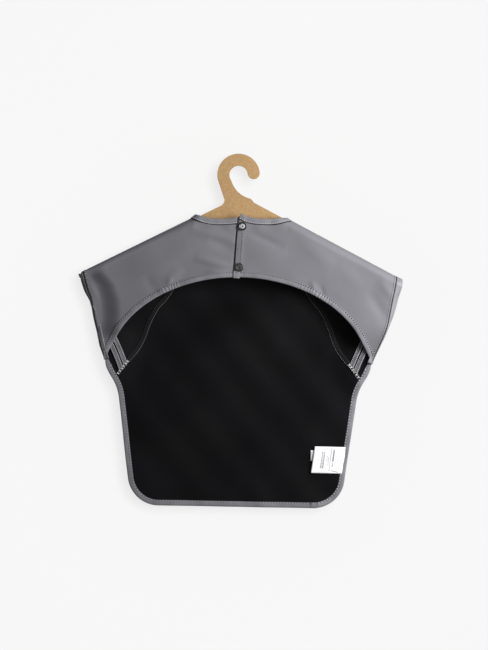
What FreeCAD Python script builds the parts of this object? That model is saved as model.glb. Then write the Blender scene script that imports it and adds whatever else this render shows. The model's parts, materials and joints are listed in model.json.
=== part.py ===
import FreeCAD, Part
import math
import os

# Short-sleeved smock bib in coated fabric, hanging on its card hanger. Millimetres, +Z up.
# Origin: centre of the hanger's hook, where the rail or peg sits. The bib's back faces -Y
# and its front panel is on the +Y side. Left and right are as seen from the back.
#
# Most outlines are drawn in the bib's own flat layout: u runs sideways from its centre line
# and v runs down from the back neck edge.

# ---- where the bib hangs
centre_x = 3.6            # the bib's centre line, beside the hook's centre
neck_z = -56.5            # height of the back neck edge

# ---- outline of the bib
neck_half = 64.0          # half the width of the neck opening
front_neck_drop = 42.0    # how far the front neckline dips
shoulder_half = 202.5     # centre line to the outer end of the shoulder fold
shoulder_drop = 70.8      # neck edge down to that end
armpit_half = 166.0       # centre line to the lower end of the sleeve opening
armpit_drop = 177.0
arch_top = 71.0           # neck edge down to the top of the open back
arch_half = 163.75        # half the width of the oval that shapes the open back
arch_rise = 118.75        # half its height
raglan_start = 14.0       # where the raglan seam leaves the front neckline, down from the neck edge
raglan_mid = (99.0, 106.0)
raglan_low = (139.0, 178.5)
underarm_low = (150.5, 193.6)
side_top_half = 148.0     # front panel where its straight sides begin
side_top_drop = 227.0
hem_half = 130.6          # front panel at the hem
hem_drop = 358.5
hem_corner = 38.0         # radius of the two lower corners
armpit_bow = (-2.0, 20.0) # pull of the sleeve's end on the side's curve, out and down
side_bow = (3.0, -28.0)   # pull of the straight side on it

# ---- fabric and trims
cloth = 1.0               # coated fabric with its knit inside
fold_r = 11.0             # outer radius of the shoulder fold, half the bib's depth
tape = 0.6                # binding and facing fabric
wrap = 0.8                # binding that stands past the edge it covers
neck_bind = 5.4           # visible width of the neck binding
edge_bind = 6.2           # visible width of the binding on the open back, sides and hem
cuff_hem = 8.0            # width of the sleeve hems
seam_gap = 0.3            # between panels that a seam joins
seam_tape = 3.0           # half the width of the raglan seam's tape
strip_w = 8.0             # underarm hem strips
strip_gap = 1.2
strip_dir = (12.5, -28.0) # how far they run, sideways and up from the overlocked seam
corner_reach = 6.0        # neck binding's corners, inside the raglan seams' tops
corner_rise = 2.0         # and up from the neck edge
tape_start = 6.0          # raglan tape, from the neck binding down to its top
tape_stop = 4.0           # and from its foot up from the raglan seam's lower end

# ---- placket and snaps
flap_inset = 4.0          # the back halves fold open this far inside the neck opening's ends
hinge_gap = 0.4           # from that line to the fabric on each side
placket_edge = -3.5       # edge of the upper placket at the neck
placket_lean = 0.063      # how far that edge leans over, per millimetre down
placket_w = 17.0
underlap = 12.0           # the lower placket's edge
joggle = -12.0            # where the left half steps in under the right one
snap_inset = 6.5          # snap centres, from the upper placket's edge
snap_drops = (8.1, 59.4)  # snap centres, down from the neck edge
cap_r = 5.35
cap_h = 1.6
cap_bevel = (1.05, 0.7)   # chamfer of the cap's rim, across and down
sink_r = 2.7              # sunk centre of the cap
sink_floor_r = 2.25
sink_depth = 0.5
post_r = 1.0
socket_r = 5.0
socket_h = 1.6
web_h = 0.5               # floor of the socket
recess_r = 2.4
stud_r = 4.8
stud_h = 0.4              # flange of the stud
nose_r = 1.9
nose_h = 1.0
snap_play = 0.2           # between socket and stud flange
fit_play = 0.05           # post in its holes
cap_play = 0.15           # binding cut back round a snap cap
facing_gap = 0.2          # between the placket facings and the neck binding

# ---- lower part of the front panel, which swings on its own
skirt_drop = 232.0
skirt_gap = 1.3

# ---- care label, sewn into the right side binding
label_drop = 281.5
label_w = 36.5
label_h = 33.5
label_fold_w = 11.0
label_fold_inset = 1.0    # turned-over strip, in from the label's top and bottom
tab_w = 41.0
tab_h = 13.5
tab_drop = 5.0            # size tab, below the label's top
leaf = 0.3
label_play = 0.7          # between the label and the panel, and between it and the binding

# ---- stitches
stitch_len = 2.4
stitch_gap = 1.0
stitch_w = 0.5
stitch_h = 0.3
stitch_insets = (1.6, 7.5)  # placket rows, from the upper placket's edge
cap_clear = 0.5           # between those rows and the snap caps
overlock_count = 9
overlock_len = 4.8
overlock_lean = 60.0      # degrees from the seam

# ---- card hanger
card = 2.0
hook_inner = 11.4
hook_outer = 26.6
tip_angle = 8.0
stem_angle = 194.0        # where the hook's outside runs into the stem
throat_angle = 218.0      # where its inside does
throat_bend = (-1.0, -20.5)  # the stem's right side, across and up from the hook's centre
throat = (14.9, -29.3)
right_bend = (18.2, -32.0)
waist = (-17.0, -31.5)    # its left side
left_bend = (-18.6, -36.3)
arm_starts = (19.4, -23.4)  # across from the hook's centre to the arms' straight edges
arm_half = 130.0
arm_end = 24.0            # height of the arms' ends
arm_bow = 4.0             # how far they bulge
arm_play = 1.0            # between an arm's top edge and the fold above it
card_low = 54.0           # lower edge of the card, down from the neck edge

os.makedirs("parts", exist_ok=True)
V = FreeCAD.Vector
flap_hinge = neck_half - flap_inset
back_y = -fold_r
front_y = fold_r
far = 60.0                # cutters reach at least this far past what they trim
above = -15.0             # and start this far above the neck edge
tiny = 1e-6


def at(u, v, y):
    """Point of the flat layout, in the part's frame."""
    return V(centre_x + u, y, neck_z - v)


def plate(points, y0, y1):
    """Flat sheet with straight edges, between two depths."""
    loop = [at(u, v, y0) for u, v in points]
    loop.append(loop[0])
    return Part.Face(Part.makePolygon(loop)).extrude(V(0, y1 - y0, 0))


def panel(path, y0, y1):
    """Flat sheet from a start point and its steps: ("to", p), ("arc", via, p) or ("curve", a, b, p)."""
    here = path[0]
    edges = []
    for step in path[1:] + [("to", path[0])]:
        points = [at(u, v, y0) for u, v in (here,) + step[1:]]
        if step[0] == "arc":
            edges.append(Part.Arc(*points).toShape())
        elif step[0] == "curve":
            bend = Part.BezierCurve()
            bend.setPoles(points)
            edges.append(bend.toShape())
        elif (points[1] - points[0]).Length > tiny:
            edges.append(Part.makeLine(*points))
        here = step[-1]
    return Part.Face(Part.Wire(edges)).extrude(V(0, y1 - y0, 0))


def oval(half_u, half_v, v_mid, y0, y1):
    """Elliptical block through the layers."""
    tips = [(half_u, at(half_u, v_mid, y0)), (half_v, at(0, v_mid - half_v, y0))]
    tips.sort(key=lambda tip: -tip[0])
    rim = Part.Ellipse(tips[0][1], tips[1][1], at(0, v_mid, y0))
    return Part.Face(Part.Wire([rim.toShape()])).extrude(V(0, y1 - y0, 0))


def mirrored(shape):
    return shape.mirror(V(centre_x, 0, 0), V(1, 0, 0))


def joined(shapes):
    whole = shapes[0]
    for shape in shapes[1:]:
        whole = whole.fuse(shape)
    return whole.removeSplitter()


def without(shape, *cutters):
    for cutter in cutters:
        shape = shape.cut(cutter)
    return shape


def save(name, *shapes):
    """One STEP file for a node: a single solid, or a group of separate ones."""
    solids = [solid for shape in shapes for solid in shape.Solids]
    whole = solids[0] if len(solids) == 1 else Part.makeCompound(solids)
    whole.exportStep("parts/%s.step" % name)


# ---------------------------------------------------------------- card hanger
slope = math.atan2(shoulder_drop, shoulder_half - neck_half)
arm_lift = (cloth + arm_play) / math.cos(slope)


def shoulder_v(u):
    """Drop of the shoulder fold's outside at a distance from the centre line."""
    return (abs(u) - neck_half) * math.tan(slope)


def card_hanger():
    def ring(radius, angle):
        a = math.radians(angle)
        return V(radius * math.cos(a), -card / 2, radius * math.sin(a))

    def on_arm(x):
        u = x - centre_x
        return at(u, shoulder_v(u) + arm_lift, -card / 2)

    def spot(place):
        return V(place[0], -card / 2, place[1])

    middle = (hook_inner + hook_outer) / 2
    half_band = (hook_outer - hook_inner) / 2
    a = math.radians(tip_angle)
    tip = ring(middle, tip_angle) + V(math.sin(a), 0, -math.cos(a)) * half_band
    top_of_hook = (tip_angle + stem_angle) / 2
    top_of_throat = (tip_angle + throat_angle) / 2
    right_arm, left_arm = [on_arm(x) for x in arm_starts]
    end_v = shoulder_v(arm_half) + arm_lift
    right_end = [at(arm_half, end_v, -card / 2), at(arm_half + arm_bow, end_v + arm_end / 2, -card / 2),
                 at(arm_half - arm_bow, end_v + arm_end, -card / 2)]
    left_end = [V(2 * centre_x - p.x, p.y, p.z) for p in right_end]
    edges = [
        Part.Arc(ring(hook_inner, tip_angle), ring(hook_inner, top_of_throat),
                 ring(hook_inner, throat_angle)),
        Part.Arc(ring(hook_inner, throat_angle), spot(throat_bend), spot(throat)),
        Part.Arc(spot(throat), spot(right_bend), right_arm),
        Part.LineSegment(right_arm, right_end[0]),
        Part.Arc(*right_end),
        Part.Arc(right_end[2], at(0, card_low, -card / 2), left_end[2]),
        Part.Arc(left_end[2], left_end[1], left_end[0]),
        Part.LineSegment(left_end[0], left_arm),
        Part.Arc(left_arm, spot(left_bend), spot(waist)),
        Part.LineSegment(spot(waist), ring(hook_outer, stem_angle)),
        Part.Arc(ring(hook_outer, stem_angle), ring(hook_outer, top_of_hook), ring(hook_outer, tip_angle)),
        Part.Arc(ring(hook_outer, tip_angle), tip, ring(hook_inner, tip_angle)),
    ]
    outline = Part.Wire([edge.toShape() for edge in edges])
    return Part.Face(outline).extrude(V(0, card, 0))


save("card_hanger", card_hanger())


# ---------------------------------------------------------------- sleeve panels
# Each sleeve is one sheet: down the back from the shoulder fold, and down the front to the
# raglan seam. The fold is a round of radius fold_r along the sloping shoulder line.
along = V(math.cos(slope), 0, -math.sin(slope))
inward = V(-math.sin(slope), 0, -math.cos(slope))
shoulder_run = math.hypot(shoulder_half - neck_half, shoulder_drop)


def shoulder_shell(grow):
    """The right sleeve's folded sheet before it is trimmed, thickened by grow on both faces."""
    leg = armpit_drop + far
    origin = at(neck_half, 0, 0) - along * far + inward * fold_r

    def spot(y, down):
        p = origin + inward * down
        return V(p.x, y, p.z)

    outer = fold_r + grow
    inner = fold_r - cloth - grow
    edges = [
        Part.LineSegment(spot(-outer, leg), spot(-outer, 0)),
        Part.Arc(spot(-outer, 0), spot(0, -outer), spot(outer, 0)),
        Part.LineSegment(spot(outer, 0), spot(outer, leg)),
        Part.LineSegment(spot(outer, leg), spot(inner, leg)),
        Part.LineSegment(spot(inner, leg), spot(inner, 0)),
        Part.Arc(spot(inner, 0), spot(0, -inner), spot(-inner, 0)),
        Part.LineSegment(spot(-inner, 0), spot(-inner, leg)),
        Part.LineSegment(spot(-inner, leg), spot(-outer, leg)),
    ]
    profile = Part.Face(Part.Wire([edge.toShape() for edge in edges]))
    return profile.extrude(along * (shoulder_run + 2 * far))


def cuff_u(v):
    """The sleeve opening's edge."""
    return shoulder_half + (armpit_half - shoulder_half) * (v - shoulder_drop) / (armpit_drop - shoulder_drop)


depth = fold_r + far
arch_mid = arch_top + arch_rise
neck_hole_front = oval(neck_half, front_neck_drop, 0, 0, depth)
arch_hole = oval(arch_half, arch_rise, arch_mid, -depth, 0)
raglan_top = (neck_half * math.sqrt(1 - (raglan_start / front_neck_drop) ** 2), raglan_start)


def shifted(point, du, dv=0.0):
    return (point[0] + du, point[1] + dv)


back_of_sleeve = plate([(flap_hinge + hinge_gap, 0), (neck_half, 0), (neck_half, above),
                        (cuff_u(above), above), (armpit_half, armpit_drop),
                        (flap_hinge + hinge_gap, armpit_drop)], -depth, 0)
front_of_sleeve = panel([shifted(raglan_top, seam_gap), ("to", (raglan_top[0] + seam_gap, above)),
                         ("to", (cuff_u(above), above)), ("to", (armpit_half, armpit_drop)),
                         ("to", shifted(underarm_low, 0, -seam_gap)), ("to", shifted(raglan_low, seam_gap)),
                         ("arc", shifted(raglan_mid, seam_gap), shifted(raglan_top, seam_gap))], 0, depth)
shell = shoulder_shell(0)
right_sleeve = joined([shell.common(back_of_sleeve).cut(arch_hole),
                       shell.common(front_of_sleeve).cut(neck_hole_front)])
left_sleeve = mirrored(right_sleeve)
save("right_sleeve_panel", right_sleeve)
save("left_sleeve_panel", left_sleeve)


# ---------------------------------------------------------------- front panel
def side_u(v):
    """The front panel's straight side."""
    return side_top_half + (hem_half - side_top_half) * (v - side_top_drop) / (hem_drop - side_top_drop)


def side_curve(grow):
    """The side from the sleeve's end down to where it runs straight."""
    return ("curve", shifted((armpit_half + grow, armpit_drop), *armpit_bow),
            shifted((side_top_half + grow, side_top_drop), *side_bow), (side_top_half + grow, side_top_drop))


def front_upper():
    low = skirt_drop - skirt_gap
    half = panel([(0, raglan_top[1]), ("to", raglan_top), ("arc", raglan_mid, raglan_low),
                  ("to", underarm_low),
                  ("to", (armpit_half, armpit_drop + seam_gap)), side_curve(0), ("to", (side_u(low), low)),
                  ("to", (0, low))], front_y - cloth, front_y)
    return joined([half, mirrored(half)]).cut(neck_hole_front)


def skirt_plate(grow, y0, y1):
    """The front panel below the swing line, with its two round corners."""
    top = skirt_drop + skirt_gap
    low = hem_drop + grow
    middle_z = at(0, (top + low) / 2, 0).z
    block = plate([(-side_u(top) - grow, top), (side_u(top) + grow, top),
                   (side_u(hem_drop) + grow, low), (-side_u(hem_drop) - grow, low)], y0, y1)
    corners = [edge for edge in block.Edges
               if abs(edge.BoundBox.YLength - (y1 - y0)) < tiny and edge.BoundBox.ZMax < middle_z]
    return block.makeFillet(hem_corner + grow, corners)


front_top = front_upper()
front_low = skirt_plate(0, front_y - cloth, front_y)
save("front_panel_upper", front_top)
save("front_panel_lower", front_low)


# ---------------------------------------------------------------- bindings and hems
# A binding is a folded strip: it covers both faces and the edge of the sheet that it binds.
thick_shell = shoulder_shell(tape)
bound_front = (front_y - cloth - tape, front_y + tape)


def cuff_block(outside, inside, v_end):
    """Block along the sleeve opening, from outside past its edge to inside it."""
    cuff_angle = math.atan2(shoulder_half - armpit_half, armpit_drop - shoulder_drop)
    out = outside / math.cos(cuff_angle)
    into = inside / math.cos(cuff_angle)
    return plate([(cuff_u(above) + out, above), (cuff_u(v_end) + out, v_end),
                  (cuff_u(v_end) - into, v_end), (cuff_u(above) - into, above)], -depth, depth)


cuff = without(thick_shell.common(cuff_block(wrap, cuff_hem, armpit_drop - seam_gap)), right_sleeve)
below_seam = plate([shifted(underarm_low, -far, far), shifted(underarm_low, 0, 0),
                    (armpit_half, armpit_drop), (armpit_half + far, armpit_drop)], 0, depth)
cuff = cuff.cut(below_seam)
save("right_cuff_hem", cuff)
save("left_cuff_hem", mirrored(cuff))

arch_band = without(oval(arch_half + edge_bind, arch_rise + edge_bind, arch_mid, -depth, 0),
                    oval(arch_half - wrap, arch_rise - wrap, arch_mid, -depth, 0),
                    cuff_block(far, cuff_hem + seam_gap, armpit_drop + 2 * far),
                    mirrored(cuff_block(far, cuff_hem + seam_gap, armpit_drop + 2 * far)))
past_hinge = plate([(flap_hinge + hinge_gap, 0), (armpit_half, 0), (armpit_half, armpit_drop),
                    (flap_hinge + hinge_gap, armpit_drop)], -depth, 0)
arch_side = thick_shell.common(arch_band).common(past_hinge).cut(right_sleeve)
save("right_back_binding", arch_side)
save("left_back_binding", mirrored(arch_side))

neck_band_front = without(oval(neck_half + neck_bind, front_neck_drop + neck_bind, 0, 0, depth),
                          oval(neck_half - wrap, front_neck_drop - wrap, 0, 0, depth))
split_u = raglan_top[0] - corner_reach
corner_front = plate([(split_u, -corner_rise), (neck_half + far, -corner_rise), (neck_half + far, far),
                      (split_u, far)], 0, depth)
corner_back = plate([(flap_hinge + hinge_gap, -wrap), (neck_half + neck_bind, -wrap),
                     (neck_half + neck_bind, neck_bind), (flap_hinge + hinge_gap, neck_bind)], -depth, 0)
corner = joined([thick_shell.common(neck_band_front).common(corner_front),
                 thick_shell.common(corner_back)])
corner = without(corner, right_sleeve, front_top)
middle_block = plate([(-split_u, 0), (split_u, 0), (split_u, far), (-split_u, far)], *bound_front)
middle = middle_block.common(neck_band_front).cut(front_top)
save("neck_binding_front", joined([corner, middle, mirrored(corner)]))

side_low = skirt_drop - skirt_gap
side_start = (armpit_half + wrap, armpit_drop + 2 * seam_gap)
side_band = panel([side_start, side_curve(wrap), ("to", (side_u(side_low) + wrap, side_low)),
                   ("to", (side_u(side_low) - edge_bind, side_low)),
                   ("to", (side_top_half - edge_bind, side_top_drop)),
                   ("curve", shifted((side_top_half - edge_bind, side_top_drop), *side_bow),
                    shifted((armpit_half - edge_bind, armpit_drop), *armpit_bow),
                    (armpit_half - edge_bind, armpit_drop + 2 * seam_gap))], *bound_front)
side_bind = without(side_band, front_top, right_sleeve)
save("right_side_binding", side_bind)
save("left_side_binding", mirrored(side_bind))

save("hem_binding", without(skirt_plate(wrap, *bound_front), skirt_plate(-edge_bind, *bound_front),
                            front_low))


# ---------------------------------------------------------------- seams inside the sleeves
inside_y = front_y - cloth
tape_top = raglan_top[1] + neck_bind + tape_start
tape_low = raglan_low[1] - tape_stop
seam = panel([shifted(raglan_top, -seam_tape),
              ("arc", shifted(raglan_mid, -seam_tape), shifted(raglan_low, -seam_tape)),
              ("to", shifted(raglan_low, seam_tape)),
              ("arc", shifted(raglan_mid, seam_tape), shifted(raglan_top, seam_tape))],
             inside_y - tape, inside_y)
seam = seam.common(plate([(0, tape_top), (armpit_half, tape_top), (armpit_half, tape_low), (0, tape_low)],
                         0, depth))
save("right_raglan_seam", seam)
save("left_raglan_seam", mirrored(seam))

# Two turned-in strips of the front sleeve hem lie inside the underarm, and end at an overlocked seam.
seam_dir = V(underarm_low[0] - raglan_low[0], underarm_low[1] - raglan_low[1], 0)
seam_len = seam_dir.Length
seam_dir.normalize()
strip_y = (inside_y - tape, inside_y)


def along_seam(distance, back=0.0):
    """Point along the overlocked seam, and back up the strips by a share of their length."""
    return (raglan_low[0] + seam_dir.x * distance + strip_dir[0] * back,
            raglan_low[1] + seam_dir.y * distance + strip_dir[1] * back)


strips = []
for start in (0.0, strip_w + strip_gap):
    end = min(start + strip_w, seam_len)
    strip = plate([along_seam(start), along_seam(end), along_seam(end, 1.0), along_seam(start, 1.0)],
                  *strip_y)
    strips.append(without(strip, cuff, seam, side_bind))
save("right_underarm_strips", *strips)
save("left_underarm_strips", *[mirrored(strip) for strip in strips])


def thread(centre, angle, length, y0, y1):
    """One straight stitch: a short bar that lies on the cloth."""
    a = math.radians(angle)
    du, dv = math.cos(a), math.sin(a)
    corners = [(length / 2, stitch_w / 2), (length / 2, -stitch_w / 2),
               (-length / 2, -stitch_w / 2), (-length / 2, stitch_w / 2)]
    points = [(centre[0] + p * du - q * dv, centre[1] + p * dv + q * du) for p, q in corners]
    return plate(points, y0, y1)


seam_angle = math.degrees(math.atan2(seam_dir.y, seam_dir.x))
overlock = []
for index in range(overlock_count):
    centre = along_seam(seam_len * (index + 0.5) / overlock_count)
    overlock.append(thread(centre, seam_angle + overlock_lean, overlock_len,
                           strip_y[0] - stitch_h, strip_y[0]))
save("right_underarm_overlock", *overlock)
save("left_underarm_overlock", *[mirrored(stitch) for stitch in overlock])


# ---------------------------------------------------------------- back halves and placket
def edge_u(v):
    """Free edge of the upper placket, which leans a little."""
    return placket_edge - placket_lean * v


flap_u = flap_hinge - hinge_gap
flap_low = arch_top + far
band_top = arch_top - edge_bind - seam_gap
face_top = neck_bind + facing_gap
right_y = (back_y, back_y + cloth)
socket_y = right_y[1] + tape
stud_face = socket_y + socket_h + snap_play + stud_h
under_y = (stud_face + tape, stud_face + tape + cloth)

right_half = plate([(edge_u(0), 0), (flap_u, 0), (flap_u, flap_low), (edge_u(flap_low), flap_low)], *right_y)
right_half = right_half.cut(arch_hole)


def left_sheet(grow, v0, v1):
    """The left half steps inwards under the right one's placket."""
    def bar(u0, u1, y0, y1):
        return plate([(u0, v0), (u1, v0), (u1, v1), (u0, v1)], y0, y1)

    outside = bar(-flap_u, joggle + grow, right_y[0] - grow, right_y[1] + grow)
    step = bar(joggle - cloth - grow, joggle + grow, right_y[0] - grow, under_y[1] + grow)
    inside = bar(joggle - cloth - grow, underlap, under_y[0] - grow, under_y[1] + grow)
    return joined([outside, step, inside])


left_half = left_sheet(0, 0, flap_low).cut(arch_hole)


def turned(profile, u, v):
    """Round part from its (radius, depth) outline, standing square to the cloth."""
    spots = [V(centre_x + u + r, y, neck_z - v) for r, y in profile]
    face = Part.Face(Part.makePolygon(spots + [spots[0]]))
    return face.revolve(at(u, v, 0), V(0, 1, 0), 360)


def disc(radius, u, v, y0, y1):
    return Part.makeCylinder(radius, y1 - y0, at(u, v, y0), V(0, 1, 0))


snaps = [(edge_u(v) + snap_inset, v) for v in snap_drops]
post_holes = [disc(post_r + fit_play, u, v, -depth, 0) for u, v in snaps]
outer_caps = [disc(cap_r + cap_play, u, v, -depth, back_y) for u, v in snaps]
inner_caps = [disc(cap_r + cap_play, u, v, under_y[1], 0) for u, v in snaps]

right_facing = plate([(edge_u(face_top), face_top), (edge_u(face_top) + placket_w, face_top),
                      (edge_u(band_top) + placket_w, band_top), (edge_u(band_top), band_top)],
                     right_y[1], socket_y)
left_facing = plate([(joggle + 2 * tape, face_top), (underlap, face_top), (underlap, band_top),
                     (joggle + 2 * tape, band_top)], stud_face, under_y[0])
save("right_back_half", without(right_half, *post_holes))
save("left_back_half", without(left_half, *post_holes))
save("right_placket_facing", without(right_facing, *post_holes))
save("left_placket_facing", without(left_facing, *post_holes))

neck_strip = [(edge_u(0), -wrap), (flap_u, -wrap), (flap_u, neck_bind), (edge_u(0), neck_bind)]
right_neck = plate(neck_strip, right_y[0] - tape, right_y[1] + tape)
left_neck = left_sheet(tape, -wrap, neck_bind)
save("right_neck_binding", without(right_neck, right_half, *outer_caps))
save("left_neck_binding", without(left_neck, left_half, *inner_caps))

right_arch = plate([(edge_u(arch_top), arch_top - 2 * edge_bind), (flap_u, arch_top - 2 * edge_bind),
                    (flap_u, flap_low), (edge_u(arch_top), flap_low)], right_y[0] - tape, right_y[1] + tape)
left_arch = left_sheet(tape, arch_top - 2 * edge_bind, flap_low)
save("right_half_binding", without(right_arch.common(arch_band), right_half, *outer_caps))
save("left_half_binding", without(left_arch.common(arch_band), left_half, *inner_caps))


# ---------------------------------------------------------------- snaps
def dome(seat, out):
    """Cap with a rolled rim, a sunk centre and a post that goes through the cloth."""
    top = seat + out * cap_h
    floor = top - out * sink_depth
    return [(0, floor), (sink_floor_r, floor), (sink_r, top), (cap_r - cap_bevel[0], top),
            (cap_r, top - out * cap_bevel[1]), (cap_r, seat), (post_r, seat)]


web_y = socket_y + web_h
flange_y = stud_face - stud_h
cap_profile = dome(right_y[0], -1) + [(post_r, web_y), (0, web_y)]
back_profile = dome(under_y[1], 1) + [(post_r, flange_y), (0, flange_y)]
hub_r = post_r + fit_play
socket_profile = [(hub_r, socket_y), (socket_r, socket_y), (socket_r, socket_y + socket_h),
                  (recess_r, socket_y + socket_h), (recess_r, web_y), (hub_r, web_y)]
stud_profile = [(hub_r, stud_face), (stud_r, stud_face), (stud_r, flange_y), (nose_r, flange_y),
                (nose_r, flange_y - nose_h), (hub_r, flange_y - nose_h)]
save("snap_caps", *[turned(cap_profile, u, v) for u, v in snaps])
save("snap_sockets", *[turned(socket_profile, u, v) for u, v in snaps])
save("snap_studs", *[turned(stud_profile, u, v) for u, v in snaps])
save("snap_back_caps", *[turned(back_profile, u, v) for u, v in snaps])


# ---------------------------------------------------------------- placket stitches
def stitch_row(inset, v0, v1, y0, y1):
    """Straight row of stitches beside the upper placket's edge."""
    pitch = stitch_len + stitch_gap
    count = int((v1 - v0) / pitch)
    lean = math.degrees(math.atan2(1, -placket_lean))
    row = []
    for index in range(count):
        v = v0 + pitch * (index + 0.5)
        row.append(thread((edge_u(v) + inset, v), lean, stitch_len, y0, y1))
    return row


below_cap = snap_drops[0] + cap_r + cap_clear
above_cap = snap_drops[1] - cap_r - cap_clear
stitches = []
for inset in stitch_insets:
    stitches += stitch_row(inset, below_cap, above_cap, right_y[0] - stitch_h, right_y[0])
save("placket_stitches", *stitches)


# ---------------------------------------------------------------- care label
def label_edge(v):
    """Where the label comes out from under the side binding."""
    return side_u(v) - edge_bind - label_play


def label_leaf(drop, width, height, y0, y1):
    low = drop + height
    return plate([(label_edge(drop), drop), (label_edge(low), low),
                  (label_edge(low) - width, low), (label_edge(drop) - width, drop)], y0, y1)


leaf_y = [inside_y - label_play - leaf * step for step in range(4)]
save("size_tab", label_leaf(label_drop + tab_drop, tab_w, tab_h, leaf_y[1], leaf_y[0]))
save("care_label", label_leaf(label_drop, label_w, label_h, leaf_y[2], leaf_y[1]))
save("care_label_fold", label_leaf(label_drop + label_fold_inset, label_fold_w,
                                   label_h - 2 * label_fold_inset, leaf_y[3], leaf_y[2]))
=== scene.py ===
import json
import math

import bmesh
import bpy
import numpy as np
from mathutils import Matrix, Vector

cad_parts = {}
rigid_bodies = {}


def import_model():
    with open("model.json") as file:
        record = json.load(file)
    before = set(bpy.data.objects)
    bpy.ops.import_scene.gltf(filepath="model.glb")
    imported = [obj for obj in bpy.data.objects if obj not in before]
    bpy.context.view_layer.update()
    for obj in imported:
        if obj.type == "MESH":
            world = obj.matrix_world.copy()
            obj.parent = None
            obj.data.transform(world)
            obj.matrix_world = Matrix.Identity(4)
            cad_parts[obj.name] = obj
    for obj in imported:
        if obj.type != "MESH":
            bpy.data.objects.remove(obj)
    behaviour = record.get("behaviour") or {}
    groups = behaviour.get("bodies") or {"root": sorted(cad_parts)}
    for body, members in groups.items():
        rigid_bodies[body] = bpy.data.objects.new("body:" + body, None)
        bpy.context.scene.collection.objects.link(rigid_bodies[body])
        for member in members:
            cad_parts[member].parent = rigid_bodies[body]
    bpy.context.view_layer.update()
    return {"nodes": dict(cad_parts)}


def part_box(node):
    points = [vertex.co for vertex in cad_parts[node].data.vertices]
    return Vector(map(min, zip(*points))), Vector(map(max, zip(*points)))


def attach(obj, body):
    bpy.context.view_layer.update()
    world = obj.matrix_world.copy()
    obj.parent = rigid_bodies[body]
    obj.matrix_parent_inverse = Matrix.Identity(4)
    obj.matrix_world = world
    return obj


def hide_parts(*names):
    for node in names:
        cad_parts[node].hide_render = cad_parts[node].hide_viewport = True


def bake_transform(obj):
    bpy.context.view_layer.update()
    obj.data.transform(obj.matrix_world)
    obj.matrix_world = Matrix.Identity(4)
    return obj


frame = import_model()

# Smock bib in coated fabric on its card hanger. Every piece is laid out in millimetres on the
# flat bib: u runs sideways from the centre line, v runs down from the back neck edge, and y is
# the depth, with the bib's back at -y. side is +1 for the right half and -1 for the left.

MM = 0.001
low_corner, high_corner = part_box("front_panel_lower")
CENTRE_X = (low_corner.x + high_corner.x) / 2 / MM
NECK_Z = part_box("right_back_half")[1].z / MM
SIDES = ((1, "right"), (-1, "left"))

FOLD_R = 10.5  # half the depth of the shoulder fold, to the middle of the cloth
SLOPE = math.atan2(70.8, 138.5)
NECK_HALF = 64.0  # where the straight shoulder starts
COLLAR_SLOPE = {1: SLOPE, -1: math.radians(38.8)}
NECK_CORNER = {1: (58.1, -3.0), -1: (56.9, -5.7)}
TIP = (166.0, 177.0)  # lower end of the sleeve opening
TIP_FLAT, TIP_REACH = 0.12, 52.0  # share of the depth left at the tip, and how far it stays flatter
ARCH_HALF, ARCH_RISE, ARCH_MID = 163.75, 118.75, 189.75
ARCH_OUT, ARCH_ROUND = 128.0, 140.0  # the open back's mean radii, outwards and along its edge
ARCH_END = 1.4632  # how far round the open back's edge goes on each side, in radians
UNDERLAP_U = -12.0  # edge of the left half, under the placket
PLACKET_FOOT = 71.0  # where the placket's free edge meets the open back
UNDERLAP_Y = -6.1  # depth of the left half's edge, under the right one
FRONT_NECK_DROP = 43.4
SIDE_TOP = (148.0, 227.0)  # top of the straight side
HEM_DROP = 358.5
HEM_CORNER = (130.6, HEM_DROP)  # where side and hem would cross
HEM_CORNER_R = 38.0
CLOTH = 0.8
BIND, BIND_WRAP = 6.2, 0.8  # width of the binding on the cloth, and past its edge
BIND_SEAM = BIND - 1.1  # its row of stitches
NECK_BIND, NECK_SEAM = 6.4, 5.3
BEND_WIDTH = 3.0  # how much of a turned strip's width its bend takes
SNAPS = [(2.5, 8.1), (-0.7, 59.4)]


def smooth(t):
    """Soft step from 0 to 1."""
    t = np.clip(t, 0, 1)
    return t * t * (3 - 2 * t)


def curve(points, count, ease=1.0):
    """Smooth line through flat points, as count points along it; an ease over 1 crowds its start."""
    p = np.array(points, float)
    ends = np.vstack([2 * p[0] - p[1], p, 2 * p[-1] - p[-2]])
    fine = []
    for i in range(1, len(ends) - 2):
        t = np.linspace(0, 1, 24, endpoint=False)[:, None]
        a, b, c, d = ends[i - 1:i + 3]
        fine.append(0.5 * (2 * b + (c - a) * t + (2 * a - 5 * b + 4 * c - d) * t ** 2
                           + (3 * b - a - 3 * c + d) * t ** 3))
    fine = np.vstack(fine + [p[-1:]])
    return spaced(fine, np.linspace(0, 1, count) ** ease)


def distances(line):
    """How far along a line each of its points lies."""
    return np.concatenate([[0], np.cumsum(np.linalg.norm(np.diff(line, axis=0), axis=1))])


def units(rows):
    """Each row scaled to a length of 1."""
    return rows / np.linalg.norm(rows, axis=1, keepdims=True)


def spaced(line, shares):
    """Points at given shares of a line's length."""
    run = distances(line)
    return np.stack([np.interp(np.asarray(shares) * run[-1], run, line[:, k])
                     for k in range(line.shape[1])], axis=1)


# ------------ the bib's form

def fold_distance(u, v):
    """How far below the shoulder fold a point lies."""
    a = np.abs(u)
    main = (NECK_HALF - a) * math.sin(SLOPE) + v * math.cos(SLOPE)
    collar = (NECK_HALF - a) * math.sin(COLLAR_SLOPE[-1]) + v * math.cos(COLLAR_SLOPE[-1])
    return np.maximum(0, np.where(u < 0, np.maximum(main, collar), main))


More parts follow.
